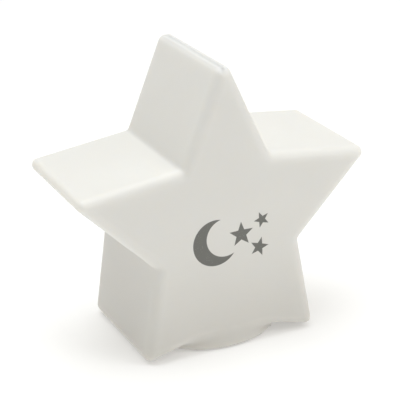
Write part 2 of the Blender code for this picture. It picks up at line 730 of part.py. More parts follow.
def make_led():
    dome_start = LED_BOTTOM + LED_HEIGHT - LED_RADIUS
    flange_top = LED_BOTTOM + LED_FLANGE_HEIGHT
    flange = [(0, LED_BOTTOM), (LED_FLANGE_RADIUS, LED_BOTTOM), (LED_FLANGE_RADIUS, flange_top)]
    profile = [*flange, (LED_RADIUS, flange_top)]
    dome = 5
    for i in range(dome):
        angle = math.pi / 2 * i / dome
        profile.append((LED_RADIUS * math.cos(angle), dome_start + LED_RADIUS * math.sin(angle)))
    profile.append((0, dome_start + LED_RADIUS))
    piece("led", turned("led", profile, MID_ROUND), "clear_epoxy")
    for i, side in enumerate((-1, 1), 1):
        lead = rod(f"led_lead_{i}", LEAD_RADIUS, LEAD_BOTTOM, LED_BOTTOM - GAP, 8)
        piece(f"led_lead_{i}", moved(lead, side * LEAD_PITCH / 2, 0, 0), "spring_steel")


def make_resistor():
    """An axial resistor: a waisted body on one bent wire."""
    centre_z = BOARD_TOP + GAP + RESISTOR_RADIUS
    half, waist = RESISTOR_LENGTH / 2, 0.8 * RESISTOR_RADIUS
    profile = [
        (0, -half),
        (0.7 * RESISTOR_RADIUS, -half),
        (RESISTOR_RADIUS, -0.75 * half),
        (RESISTOR_RADIUS, -0.5 * half),
        (waist, -0.3 * half),
        (waist, 0.3 * half),
        (RESISTOR_RADIUS, 0.5 * half),
        (RESISTOR_RADIUS, 0.75 * half),
        (0.7 * RESISTOR_RADIUS, half),
        (0, half),
    ]
    body = turned("resistor", profile, SMALL_ROUND)
    body.transform(Matrix.Rotation(math.pi / 2, 4, "Y"))
    resistor = piece("resistor", moved(body, 0, RESISTOR_Y, centre_z), "resistor_tan")
    for side in (-1, 1):
        low = rod("lead_down", LEAD_RADIUS, LEAD_BOTTOM, centre_z + LEAD_RADIUS, 8)
        moved(low, side * RESISTOR_PITCH / 2, RESISTOR_Y, 0)
        across = rod("lead_across", 0.9 * LEAD_RADIUS, 0, RESISTOR_PITCH / 2, 8)
        across.transform(Matrix.Rotation(side * math.pi / 2, 4, "Y"))
        add(resistor, moved(across, 0, RESISTOR_Y, centre_z), low)


# Slide switch


def make_switch():
    centre = (0.0, SWITCH_Y)
    half_x, half_y = SWITCH_LENGTH / 2, SWITCH_WIDTH / 2
    inner_x, inner_y = half_x - SWITCH_WALL, half_y - SWITCH_WALL
    shell = centred_block("switch_case", centre, half_x, half_y, SWITCH_BOTTOM, SWITCH_TOP)
    case = piece("switch_case", shell, "steel")
    floor = SWITCH_BOTTOM + SWITCH_WALL
    cut(case, centred_block("case_inside", centre, inner_x, inner_y, floor, 2 * SWITCH_TOP))
    slot_x, slot_y = SWITCH_TRAVEL / 2 + KNOB_LENGTH / 2 + GAP, KNOB_WIDTH / 2 + GAP
    cut(case, centred_block("case_slot", centre, slot_x, slot_y, 0, floor + GAP))

    lid_top = SWITCH_TOP - GAP
    lid = centred_block("lid", centre, inner_x - GAP, inner_y - GAP, lid_top - INSULATOR_HEIGHT, lid_top)
    piece("switch_insulator", lid, "laminate_brown")
    for i in range(3):
        x = (i - 1) * TERMINAL_PITCH
        pin_low = lid_top + GAP
        half = (TERMINAL_WIDTH / 2, TERMINAL_THICKNESS / 2)
        pin = centred_block("pin", (x, SWITCH_Y), *half, pin_low, pin_low + TERMINAL_HEIGHT)
        piece(f"switch_terminal_{i + 1}", pin, "spring_steel")

    knob_centre = (KNOB_X, SWITCH_Y)
    slider_top = SLIDER_BOTTOM + SLIDER_HEIGHT
    slider = centred_block("slider", knob_centre, SLIDER_LENGTH / 2, inner_y - GAP, SLIDER_BOTTOM, slider_top)
    knob = piece("switch_knob", slider, "black_plastic", origin=(*knob_centre, SLIDER_BOTTOM))
    stem_top = SLIDER_BOTTOM + SLIDER_HEIGHT / 2
    add(knob, centred_block("stem", knob_centre, KNOB_LENGTH / 2, KNOB_WIDTH / 2, KNOB_RECESS, stem_top))


def make_wires():
    """Two short wires from the switch's terminals up through the board."""
    start_z = SWITCH_TOP + TERMINAL_HEIGHT + GAP
    bend_top = BOARD_BOTTOM - GAP
    for name, pin, side in (("wire_red", -1, -1), ("wire_black", 0, 1)):
        start = Vector((pin * TERMINAL_PITCH, SWITCH_Y, start_z))
        end = Vector((side * WIRE_HOLE_X, WIRE_HOLE_Y, bend_top))
        rise = Vector((0, 0, (bend_top - start_z) / 2))
        points = []
        for i in range(WIRE_STEPS + 1):
            t = i / WIRE_STEPS
            low, high = start.lerp(start + rise, t), (end - rise).lerp(end, t)
            middle = (start + rise).lerp(end - rise, t)
            points.append(low.lerp(middle, t).lerp(middle.lerp(high, t), t))
        points.append(Vector((end.x, end.y, BOARD_TOP + LED_LIFT)))
        tube(name, points, WIRE_RADIUS, name)


def main():
    clear_scene()
    make_star_shell()
    make_base_housing()
    make_base_plate()
    make_battery_door()
    make_screws()
    make_button_cells()
    make_contact("contact_positive", -1)
    make_contact("contact_negative", 1)
    make_contact_spring()
    make_circuit_board()
    make_led()
    make_resistor()
    make_switch()
    make_wires()


main()
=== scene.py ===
"""Star night light: the surfaces, materials, floor, light and camera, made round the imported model."""

import math

import bmesh
import bpy
import numpy as np
from bpy.props import FloatProperty, FloatVectorProperty, PointerProperty
from bpy.types import Operator, Panel, PropertyGroup
from mathutils import Matrix, Vector


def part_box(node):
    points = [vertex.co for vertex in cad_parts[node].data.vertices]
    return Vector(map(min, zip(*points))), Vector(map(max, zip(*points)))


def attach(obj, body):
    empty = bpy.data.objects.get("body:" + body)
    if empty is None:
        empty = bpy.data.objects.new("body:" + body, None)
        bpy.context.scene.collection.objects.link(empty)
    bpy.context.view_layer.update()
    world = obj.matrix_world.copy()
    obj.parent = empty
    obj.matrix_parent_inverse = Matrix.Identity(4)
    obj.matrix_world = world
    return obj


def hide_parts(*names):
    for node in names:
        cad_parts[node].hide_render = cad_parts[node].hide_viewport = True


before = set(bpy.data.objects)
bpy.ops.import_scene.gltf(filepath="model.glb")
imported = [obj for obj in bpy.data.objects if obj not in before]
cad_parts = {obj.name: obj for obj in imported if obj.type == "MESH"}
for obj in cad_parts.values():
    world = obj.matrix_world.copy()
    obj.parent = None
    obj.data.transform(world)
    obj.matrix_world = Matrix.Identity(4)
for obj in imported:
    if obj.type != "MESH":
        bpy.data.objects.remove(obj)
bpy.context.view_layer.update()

bl_info = {
    "name": "Star Night Light",
    "version": (1, 0, 0),
    "blender": (4, 5, 0),
    "location": "View3D > Sidebar > Star Light",
    "description": "Builds a soft star night light with its base, works and studio",
    "category": "Object",
}

MM = 0.001
BODY = "lamp"
DOOR = "door"

# The star's outline, measured from its centre as (x, z), and the shell's box in the model
TOP_TIP = (0.0 * MM, 60.0 * MM)
UPPER_INNER = (16.15 * MM, 22.5 * MM)
ARM_TIP = (55.0 * MM, 17.8 * MM)
SIDE_INNER = (26.8 * MM, -10.9 * MM)
FOOT_TIP = (32.4 * MM, -45.5 * MM)
NOTCH = (0.0 * MM, -36.9 * MM)
SHELL_LOW, SHELL_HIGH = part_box("star_shell")

# The join of star and collar: full between the legs, gone at their sides, and never quite sharp
JOIN_FULL, JOIN_GONE = 19.0 * MM, 27.0 * MM
JOIN_LOW, JOIN_HIGH = -1.0 * MM, 4.0 * MM
JOIN_LEAST = 0.2 * MM
LIP_TOP = 2.6 * MM

# Grip ribs under the battery door: distances from the door's end, and each rib's taper as (along, size)
RIB_COUNT = 5
RIB_START = 14.0 * MM
RIB_PITCH = 1.3 * MM
RIB_HEIGHT = 0.2 * MM
RIB_SINK = 0.1 * MM
RIB_HALF_WIDTH = 0.25 * MM
RIB_TAPER = ((-3.6, 0.3), (-3.5, 0.7), (-3.3, 1.0), (3.3, 1.0), (3.5, 0.7), (3.6, 0.3))

# Printed stars as (right, up, radius, turn), from the print's middle
PRINTED_STARS = (
    (3.4 * MM, 1.2 * MM, 4.6 * MM, 0.0),
    (11.2 * MM, 5.0 * MM, 3.0 * MM, 0.35),
    (10.0 * MM, -4.8 * MM, 3.6 * MM, -0.3),
)
STAR_WAIST = 0.42  # a printed star's inner radius against its outer one

# Resistor bands as (place along the body in millimetres, colour)
RESISTOR_BANDS = (
    (0.15, (0.10, 0.05, 0.02)),
    (1.45, (0.02, 0.02, 0.02)),
    (2.75, (0.45, 0.03, 0.02)),
    (4.45, (0.55, 0.40, 0.10)),
)
BAND_HALF_WIDTH = 0.3 * MM


def colour_property(name, default, description):
    return FloatVectorProperty(
        name=name, description=description, default=default, size=3, subtype="COLOR", min=0.0, max=1.0
    )


def length_property(name, default, description):
    return FloatProperty(
        name=name, description=description, default=default, unit="LENGTH", subtype="DISTANCE", precision=5
    )


def angle_property(name, degrees, description):
    return FloatProperty(name=name, description=description, default=math.radians(degrees), subtype="ANGLE")


class StarSettings(PropertyGroup):
    depth: length_property("Depth", 50.6 * MM, "Distance between the star's front and back faces")
    top_radius: length_property("Top radius", 3.2 * MM, "Rounding of the top point")
    arm_radius: length_property("Arm radius", 2.2 * MM, "Rounding of the two arms")
    foot_radius: length_property("Foot radius", 2.2 * MM, "Rounding of the two feet")
    sharp_radius: length_property(
        "Sharp radius", 0.2 * MM, "Least rounding of a corner that has moved inwards"
    )
    edge_radius: length_property("Edge radius", 4.0 * MM, "Rounding round the front and back faces")
    inner_radius: length_property("Inner radius", 1.5 * MM, "Rounding of the five inner corners")
    wall: length_property("Wall", 2.2 * MM, "Thickness of the soft shell")
    collar_radius: length_property(
        "Collar radius", 25.0 * MM, "Outer radius of the collar, from front to back"
    )
    collar_stretch: FloatProperty(
        name="Collar stretch", description="Collar's width against its depth", default=1.10, min=1.0
    )
    collar_bore: length_property("Collar bore", 23.0 * MM, "Inner radius of the collar")
    collar_edge: length_property("Collar edge", 0.7 * MM, "Rounding of the collar's lower rim")
    centre: length_property("Centre height", 45.76 * MM, "Height of the star's centre above the surface")
    collar_top: length_property(
        "Collar straight top", 4.0 * MM, "Height where the collar starts to flare into the star"
    )
    flare_top: length_property("Flare top", 16.0 * MM, "Height where the flare has gone into the star")
    flare_sink: length_property("Flare sink", 0.6 * MM, "Depth behind the star's face where the flare starts")
    blend: length_property("Blend", 4.0 * MM, "Softness of the join between star and collar")
    lip_depth: length_property("Lip depth", 1.2 * MM, "How far the collar's lip reaches inwards")
    grain: length_property("Mesh size", 0.6 * MM, "Edge length of the shell's mesh")
    colour: colour_property("Vinyl", (0.80, 0.777, 0.725), "Colour of the milky vinyl")
    roughness: FloatProperty(
        name="Roughness", description="Roughness of the vinyl", default=0.5, min=0.0, max=1.0
    )
    glow_depth: length_property("Light depth", 5.0 * MM, "How far light spreads under the surface")


class PrintSettings(PropertyGroup):
    colour: colour_property("Ink", (0.150, 0.150, 0.135), "Colour of the printed moon and stars")
    centre_x: length_property("Centre X", 0.6 * MM, "Middle of the print along the star's width")
    drop: length_property("Drop", 5.0 * MM, "Middle of the print below the star's centre")
    moon_radius: length_property("Moon radius", 8.3 * MM, "Outer radius of the crescent")


class BaseSettings(PropertyGroup):
    plastic: colour_property("Plastic", (0.78, 0.775, 0.75), "Colour of the base's hard plastic")
    knob: colour_property("Knob", (0.02, 0.02, 0.022), "Colour of the switch knob")
    steel: colour_property("Steel", (0.60, 0.60, 0.59), "Colour of screws, contacts and switch case")
    board: colour_property("Board", (0.02, 0.13, 0.05), "Colour of the circuit board's lacquer")


class StageSettings(PropertyGroup):
    azimuth: angle_property("Azimuth", -24.205, "Camera's turn round the light")
    elevation: angle_property("Elevation", 22.378, "Camera's height angle")
    roll: angle_property("Roll", -2.107, "Camera's roll")
    distance: length_property("Distance", 0.5090, "From the camera to the star's centre")
    lens: FloatProperty(name="Lens", description="Focal length in millimetres", default=131.22, min=10.0)
    shift: FloatVectorProperty(
        name="Shift", description="Camera's sideways and upward shift", default=(0.004, 0.0027), size=2
    )
    drop: length_property("Floor drop", 0.05 * MM, "Height of the base's rest above the floor")
    floor: colour_property("Floor", (0.80, 0.797, 0.79), "Colour of the pale floor")
    world: FloatProperty(
        name="Surround", description="Strength of the even white surround", default=0.52, min=0.0
    )
    fill: FloatProperty(
        name="Fill", description="Power of the light from the right, in watts", default=0.7, min=0.0
    )
    key: FloatProperty(
        name="Key", description="Power of the soft light overhead, in watts", default=6.0, min=0.0
    )


# Outline of the star


def star_corners():
    """The sharp corners as (x, z), anticlockwise from the top."""
    right = [UPPER_INNER, ARM_TIP, SIDE_INNER, FOOT_TIP]
    left = [(-x, z) for x, z in right]
    return np.array([TOP_TIP, *left, NOTCH, *reversed(right)])


def inset_corners(corners, inset):
    """The corners of the same outline moved inwards by inset, edge by edge."""
    before = corners - np.roll(corners, 1, axis=0)
    after = np.roll(corners, -1, axis=0) - corners
    normals = []
    for edge in (before, after):
        edge = edge / np.linalg.norm(edge, axis=1, keepdims=True)
        normals.append(np.column_stack((-edge[:, 1], edge[:, 0])))
    first, second = normals
    share = inset / (1.0 + np.sum(first * second, axis=1, keepdims=True))
    return corners + (first + second) * share


def rounded_outline(corners, radii, steps=5):
    """The outline with each corner rounded, outwards or inwards."""
    points = []
    for i, (corner, radius) in enumerate(zip(corners, radii)):
        before, after = corners[i - 1] - corner, corners[(i + 1) % len(corners)] - corner
        before, after = before / np.linalg.norm(before), after / np.linalg.norm(after)
        cosine = before @ after
        half = math.acos(cosine) / 2
        bisector = (before + after) / np.linalg.norm(before + after)
        centre = corner + bisector * radius / math.sin(half)
        start = corner + before * radius / math.tan(half) - centre
        end = corner + after * radius / math.tan(half) - centre
        for share in np.linspace(0.0, 1.0, steps):
            arm = start * (1.0 - share) + end * share
            points.append(centre + arm / np.linalg.norm(arm) * radius)
    return np.array(points)


def polygon_distance(points, corners):
    """Signed distance from 2D points to a closed outline, negative inside."""
    nearest = np.full(len(points), np.inf)
    sign = np.ones(len(points))
    for here, last in zip(corners, np.roll(corners, 1, axis=0)):
        edge, to_point = last - here, points - here
        along = np.clip(to_point @ edge / (edge @ edge), 0.0, 1.0)
        away = to_point - along[:, None] * edge
        nearest = np.minimum(nearest, np.sum(away * away, axis=1))
        above = points[:, 1] >= here[1]
        below = points[:, 1] < last[1]
        left = edge[0] * to_point[:, 1] > edge[1] * to_point[:, 0]
        flips = (above & below & left) | (~above & ~below & ~left)
        sign[flips] *= -1.0
    return sign * np.sqrt(nearest)


def smooth_union(first, second, width):
    share = np.clip(0.5 + 0.5 * (second - first) / width, 0.0, 1.0)
    return second + (first - second) * share - width * share * (1.0 - share)


def rounded_corner(across, up, radius):
    """Distance to the corner between two faces, rounded by radius."""
    across, up = across + radius, up + radius
    inside = np.minimum(np.maximum(across, up), 0.0)
    return inside + np.hypot(np.maximum(across, 0.0), np.maximum(up, 0.0)) - radius


def smooth_step(value, low, high):
    share = np.clip((value - low) / (high - low), 0.0, 1.0)
    return share * share * (3.0 - 2.0 * share)


class StarForm:
    """The shell's outer form as distances, so that any mesh of it can be drawn onto the exact surface."""

    def __init__(self, star):
        self.star = star
        self.face = star.depth / 2
        self.corners = star_corners()
        self.outline = self.outline_inside(0.0, 6)
        self.centre = star.centre
        self.collar_low = SHELL_LOW.z

    def outline_inside(self, inset, steps=5):
        """The rounded outline moved inwards by inset."""
        star = self.star
        inner = star.inner_radius + inset
        top, arm, foot = (
            max(radius - inset, star.sharp_radius)
            for radius in (star.top_radius, star.arm_radius, star.foot_radius)
        )
        half = [inner, arm, inner, foot]
        radii = [top, *half, inner, *reversed(half)]
        return rounded_outline(inset_corners(self.corners, inset), radii, steps)

    def flare(self, z, wall=0.0):
        """The collar's radius at a height."""
        star = self.star
        share = np.clip((star.flare_top - z) / (star.flare_top - star.collar_top), 0.0, 1.0)
        low = self.face - star.flare_sink
        return low + (star.collar_radius - low) * (0.5 - 0.5 * np.cos(np.pi * share)) - wall

    def distance(self, points):
        star = self.star
        x, y, z = points.T
        flat = np.column_stack((x, z - self.centre))
        across = polygon_distance(flat, self.outline)
        body = rounded_corner(across, np.abs(y) - self.face, star.edge_radius)
        side = np.hypot(x / star.collar_stretch, y) - self.flare(z)
        slope = (self.flare(z - MM / 2) - self.flare(z + MM / 2)) / MM
        side = side / np.sqrt(1.0 + slope * slope)
        collar = rounded_corner(side, self.collar_low - z, star.collar_edge)
        collar = np.maximum(collar, z - star.flare_top)
        between_legs = 1.0 - smooth_step(np.abs(x), JOIN_FULL, JOIN_GONE)
        width = JOIN_LEAST + star.blend * smooth_step(z, JOIN_LOW, JOIN_HIGH) * between_legs
        return np.maximum(smooth_union(body, collar, width), np.abs(y) - self.face)

    def draw_onto(self, points, rounds=4):
        """Moves points along the form's normal until they lie on its surface."""
        step = 0.02 * MM
        for _ in range(rounds):
            here = self.distance(points)
            slopes = [self.distance(points + shift) - here for shift in np.eye(3) * step]
            normal = np.column_stack(slopes)
            normal /= np.maximum(np.linalg.norm(normal, axis=1, keepdims=True), step * MM)
            points = points - normal * here[:, None]
        return points


# Meshes


def mesh_object(name, bm, smooth_angle=40.0):
    bmesh.ops.recalc_face_normals(bm, faces=bm.faces)
    mesh = bpy.data.meshes.new(name)
    bm.to_mesh(mesh)
    bm.free()
    mesh.shade_smooth()
    mesh.set_sharp_from_angle(angle=math.radians(smooth_angle))
    obj = bpy.data.objects.new(name, mesh)
    bpy.context.scene.collection.objects.link(obj)
    return obj


def bridged(bm, rings):
    """Skins rings with equal numbers of points, and caps both ends."""
    loops = [[bm.verts.new(point) for point in ring] for ring in rings]
    count = len(loops[0])
    for low, high in zip(loops, loops[1:]):
        for i in range(count):
            j = (i + 1) % count
            bm.faces.new((low[i], low[j], high[j], high[i]))
    bm.faces.new(list(reversed(loops[0])))
    bm.faces.new(loops[-1])


def turned_rings(profile, segments):
    return [
        [(r * math.cos(a), r * math.sin(a), z) for a in (2 * math.pi * i / segments for i in range(segments))]
        for r, z in profile
    ]


def settled(obj):
    """Applies the object's modifiers to its mesh."""
    graph = bpy.context.evaluated_depsgraph_get()
    mesh = bpy.data.meshes.new_from_object(obj.evaluated_get(graph))
    obj.modifiers.clear()
    obj.data = mesh
    return obj


def cut_with(obj, tool):
    modifier = obj.modifiers.new("cut", "BOOLEAN")
    modifier.object = tool
    modifier.operation = "DIFFERENCE"
    modifier.solver = "EXACT"
    settled(obj)
    bpy.data.objects.remove(tool, do_unlink=True)


def make_grip_ribs():
    """Five rounded grip ribs under the battery door, by its screw, each sunk a little into it."""
    low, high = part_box("battery_door")
    middle = (low.y + high.y) / 2
    arc = [math.pi * i / 8 for i in range(9)]
    bm = bmesh.new()
    for i in range(RIB_COUNT):
        x = low.x + RIB_START + RIB_PITCH * i
        rings = []
        for along, size in RIB_TAPER:
            y = middle + along * MM
            half, height = RIB_HALF_WIDTH * size, RIB_HEIGHT * size
            ring = [(x + half * math.cos(a), y, low.z - height * math.sin(a)) for a in arc]
            ring += [(x + side * half, y, low.z + RIB_SINK) for side in (-1, 1)]
            rings.append(ring)
        bridged(bm, rings)
    return mesh_object("door_grip_ribs", bm)


def coarse_star(form):
    """A rough closed body that holds the star and its collar, to be remeshed."""
    star = form.star
    bm = bmesh.new()
    rings = []
    for angle in np.linspace(0.0, math.pi / 2, 5):
        inset = star.edge_radius * (1 - math.sin(angle))
        y = form.face - star.edge_radius * (1 - math.cos(angle))
        rings.append([(x, y, z + form.centre) for x, z in form.outline_inside(inset)])
    front = [[(x, -y, z) for x, y, z in ring] for ring in rings]
    bridged(bm, [*front, *reversed(rings)])
    heights = np.linspace(form.collar_low, star.flare_top, 16)
    bridged(bm, turned_rings([(float(form.flare(z)), z) for z in heights], 96))
    return mesh_object("star_skin", bm)


def star_hollow(form):
    """What is cut out of the shell: the star's inside and the collar's bore above its lip."""
    star = form.star
    inner = form.face - star.wall
    outline = inset_corners(form.corners, star.wall)
    bm = bmesh.new()
    bridged(bm, [[(x, y, z + form.centre) for x, z in outline] for y in (-inner, inner)])
    star_space = mesh_object("star_space", bm)
    bore = star.collar_bore
    lip = bore - star.lip_depth
    profile = [(lip, -star.flare_top), (lip, LIP_TOP), (bore, LIP_TOP)]
    heights = np.linspace(star.collar_top, star.flare_top, 14)
    profile += [(min(bore, float(form.flare(z, star.wall))), float(z)) for z in heights]
    bm = bmesh.new()
    bridged(bm, turned_rings(profile, 128))
    return star_space, mesh_object("collar_space", bm)


def make_star_skin(context):
    star = context.scene.star_light_star
    form = StarForm(star)
    skin = coarse_star(form)
    remesh = skin.modifiers.new("remesh", "REMESH")
    remesh.mode = "VOXEL"
    remesh.voxel_size = star.grain
    settled(skin)
    count = len(skin.data.vertices)
    flat = np.empty(count * 3)
    skin.data.vertices.foreach_get("co", flat)
    points = form.draw_onto(flat.reshape(-1, 3))
    skin.data.vertices.foreach_set("co", points.ravel())
    skin.data.update()
    for space in star_hollow(form):
        cut_with(skin, space)
    skin.data.shade_smooth()
    skin.data.set_sharp_from_angle(angle=math.radians(38))
    skin.name = "star_skin"
    return skin, form


# Shaders


class Wire:
    """A shader socket that takes part in sums. Numbers on either side become constants."""

    def __init__(self, tree, socket):
        self.tree = tree
        self.socket = socket

    def maths(self, operation, *others, first=None):
        node = self.tree.nodes.new("ShaderNodeMath")
        node.operation = operation
        values = [self, *others] if first is None else [first, self]
        for slot, value in zip(node.inputs, values):
            plug(self.tree, slot, value)
        return Wire(self.tree, node.outputs[0])

    def __add__(self, other):
        return self.maths("ADD", other)

    def __sub__(self, other):
        return self.maths("SUBTRACT", other)

    def __mul__(self, other):
        return self.maths("MULTIPLY", other)

    def __rsub__(self, other):
        return self.maths("SUBTRACT", first=other)

    def __neg__(self):
        return self * -1.0

    __radd__ = __add__
    __rmul__ = __mul__


def plug(tree, slot, value):
    if isinstance(value, Wire):
        tree.links.new(value.socket, slot)
    else:
        slot.default_value = value


class Finish:
    """One material and the nodes that shade it."""

    def __init__(self, name):
        self.material = bpy.data.materials.new(name)
        self.material.use_nodes = True
        self.tree = self.material.node_tree
        self.shader = self.tree.nodes["Principled BSDF"]

    def node(self, kind, settings=None, inputs=None, output=0):
        """Adds a node, sets it up, links its sockets and gives one of its outputs."""
        node = self.tree.nodes.new(kind)
        for name, value in (settings or {}).items():
            setattr(node, name, value)
        for name, value in (inputs or {}).items():
            plug(self.tree, node.inputs[name], value)
        return Wire(self.tree, node.outputs[output])

    def set(self, **values):
        """Sets the shader's own sockets, named with underscores for spaces."""
        for name, value in values.items():
            plug(self.tree, self.shader.inputs[name.replace("_", " ")], value)

    def place(self):
        """Position on the piece, in metres, as a vector."""
        return self.node("ShaderNodeTexCoord", output=3)

    def parts(self, vector):
        split = self.tree.nodes.new("ShaderNodeSeparateXYZ")
        plug(self.tree, split.inputs[0], vector)
        return [Wire(self.tree, out) for out in split.outputs]

    def noise(self, vector, size, detail=3.0, roughness=0.5):
        """Noise from 0 to 1 whose lumps are about size metres across."""
        inputs = {"Vector": vector, "Scale": 1.0 / size, "Detail": detail, "Roughness": roughness}
        return self.node("ShaderNodeTexNoise", inputs=inputs)

    def mix(self, factor, first, second):
        """A colour between two colours."""
        node = self.tree.nodes.new("ShaderNodeMix")
        node.data_type = "RGBA"
        plug(self.tree, node.inputs[0], factor)
        for slot, value in ((node.inputs[6], first), (node.inputs[7], second)):
            plug(self.tree, slot, value if isinstance(value, Wire) else (*value, 1.0))
        return Wire(self.tree, node.outputs[2])

    def bump(self, height, distance, strength=1.0, edges=0.15 * MM):
        """The surface's direction from a height, over small rounded edges."""
        inputs = {"Height": height, "Distance": distance, "Strength": strength}
        if edges:
            inputs["Normal"] = self.rounded(edges)
        return self.node("ShaderNodeBump", inputs=inputs)

    def disc(self, u, v, centre, radius, softness=0.06 * MM):
        """1 inside a circle in the plane of u and v, and 0 outside it."""
        across, along = u - centre[0], v - centre[1]
        return self.step(radius - (across * across + along * along).maths("SQRT"), 0.0, softness)

    def track(self, u, v, start, end, half_width, softness=0.06 * MM):
        """1 within half_width of a line that runs along u or v, and 0 away from it."""
        masks = []
        for value, a, b in ((u, start[0], end[0]), (v, start[1], end[1])):
            reach = abs(b - a) / 2 + half_width
            masks.append(self.step(reach - (value - (a + b) / 2).maths("ABSOLUTE"), 0.0, softness))
        return masks[0] * masks[1]

    def rounded(self, radius=0.15 * MM):
        """The surface's direction with small rounded edges."""
        return self.node("ShaderNodeBevel", {"samples": 4}, {"Radius": radius})

    def step(self, value, edge, softness):
        """0 below the edge and 1 above it, over a soft band."""
        settings = {"interpolation_type": "SMOOTHSTEP"}
        inputs = {"Value": value, "From Min": edge - softness, "From Max": edge + softness}
        return self.node("ShaderNodeMapRange", settings, inputs)


def darker(colour, share):
    return tuple(c * share for c in colour)


def moon_and_stars(finish, x, z, ink, form_centre):
    """A mask of the printed motif: a crescent and three five-pointed stars."""
    soft = 0.06 * MM
    radius = ink.moon_radius

    def small_star(cx, cz, r, turn):
        """A five-pointed star, folded from one of its ten half points."""
        dx, dz = x - cx, z - cz
        away = (dx * dx + dz * dz).maths("SQRT")
        angle = dx.maths("ARCTAN2", dz) + turn
        fifth = 2 * math.pi / 5
        folded = (angle.maths("PINGPONG", fifth / 2)).maths("ABSOLUTE")
        across, along = folded.maths("SINE") * away, folded.maths("COSINE") * away
        inner = STAR_WAIST * r
        ix, iz = inner * math.sin(fifth / 2), inner * math.cos(fifth / 2)
        length = math.hypot(ix, r - iz)
        edge = (across * ((r - iz) / length)) + (along - r) * (ix / length)
        return finish.step(-edge, 0.0, soft)

    cx = ink.centre_x
    cz = form_centre - ink.drop
    bite = finish.disc(x, z, (cx - 2.6 * MM, cz + 1.3 * MM), radius * 0.83)
    moon = finish.disc(x, z, (cx - 6.2 * MM, cz), radius) * (1.0 - bite)
    printed = moon
    for right, up, size, turn in PRINTED_STARS:
        printed = printed + small_star(cx + right, cz + up, size, turn)
    return printed.maths("MINIMUM", 1.0)


def vinyl_finish(context, form):
    star, ink = context.scene.star_light_star, context.scene.star_light_print
    finish = Finish("milky_vinyl")
    place = finish.place()
    x, y, z = finish.parts(place)
    cloud = finish.noise(place, 22 * MM, 2.0)
    clear = finish.mix(cloud, darker(star.colour, 0.975), tuple(star.colour))
    # Painted shade: below 22 mm the vinyl is painted about a fifth darker, blending back to its plain colour
    # by 28 mm
    painted_low_shade = finish.mix(cloud, darker(star.colour, 0.80), darker(star.colour, 0.82))
    base = finish.mix(finish.step(z, 22.0 * MM, 28.0 * MM), painted_low_shade, clear)
    underneath = finish.disc(x * (1.0 / star.collar_stretch), y, (0.0, 0.0), 24.5 * MM)
    # Painted contact shadow: the collar's outer rim below about 0.75 mm is painted at 0.4 of the vinyl colour
    rim = (1.0 - finish.step(z, 0.75 * MM, 0.15 * MM)) * (1.0 - underneath)
    base = finish.mix(rim, base, darker(star.colour, 0.4))
    front = finish.step(-y, form.face - 0.6 * MM, 0.2 * MM)
    printed = moon_and_stars(finish, x, z, ink, form.centre) * front
    wear = finish.noise(place, 0.25 * MM, 2.0)
    cover = printed * finish.step(wear, 0.27, 0.05)
    finish.set(Base_Color=finish.mix(cover * 0.97, base, tuple(ink.colour)))
    grain = finish.noise(place, 0.5 * MM, 3.0)
    dimple = finish.noise(place, 3.5 * MM, 2.0)
    finish.set(
        Roughness=star.roughness + (dimple - 0.5) * 0.10 + cover * 0.12,
        Normal=finish.bump(grain * 0.35 + dimple, 0.035 * MM, 0.6, edges=0.0),
        IOR=1.52,
        Subsurface_Weight=0.8,
        Subsurface_Scale=star.glow_depth,
        Subsurface_Radius=(1.0, 0.92, 0.80),
    )
    return finish.material


def base_relief(finish, place):
    """Moulded marks under the base: a groove by the rim, and a dot and a ring beside the switch."""
    x, y, z = finish.parts(place)
    groove = finish.disc(x, y, (0.0, 0.0), 20.3 * MM) - finish.disc(x, y, (0.0, 0.0), 19.9 * MM)
    switch_low, switch_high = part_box("switch_case")
    middle = (switch_low.y + switch_high.y) / 2
    on = finish.disc(x, y, (switch_high.x + 2.4 * MM, middle), 0.55 * MM)
    off = (switch_low.x - 2.4 * MM, middle)
    off = finish.disc(x, y, off, 0.75 * MM) - finish.disc(x, y, off, 0.45 * MM)
    return on + off - groove


def plastic_finish(name, colour, roughness=0.42, grain=0.35 * MM, relief=None):
    """Hard moulded plastic with a fine spark-eroded texture and, where given, moulded marks."""
    finish = Finish(name)
    place = finish.place()
    spark = finish.noise(place, grain, 2.0, 0.6)
    cloud = finish.noise(place, 9 * MM, 2.0)
    height = spark * 0.06 if relief is None else spark * 0.06 + relief(finish, place)
    finish.set(
        Base_Color=finish.mix(cloud, darker(colour, 0.95), tuple(colour)),
        Roughness=roughness + (spark - 0.5) * 0.18,
        Normal=finish.bump(height, 0.2 * MM, 0.8),
        IOR=1.5,
    )
    return finish.material


def metal_finish(name, colour, roughness, stretch=(1.0, 1.0, 1.0), grain=0.2 * MM):
    """Plated or rolled metal with fine lines along its sheet."""
    finish = Finish(name)
    place = finish.place()
    drawn = finish.node("ShaderNodeVectorMath", {"operation": "MULTIPLY"}, {0: place, 1: stretch})
    lines = finish.noise(drawn, grain, 3.0, 0.6)
    tarnish = finish.noise(place, 3 * MM, 3.0)
    finish.set(
        Base_Color=finish.mix(finish.step(tarnish, 0.62, 0.12), tuple(colour), darker(colour, 0.78)),
        Metallic=1.0,
        Roughness=roughness + (lines - 0.5) * 0.22 + (tarnish - 0.5) * 0.1,
        Normal=finish.bump(lines, 0.008 * MM, 0.5),
    )
    return finish.material


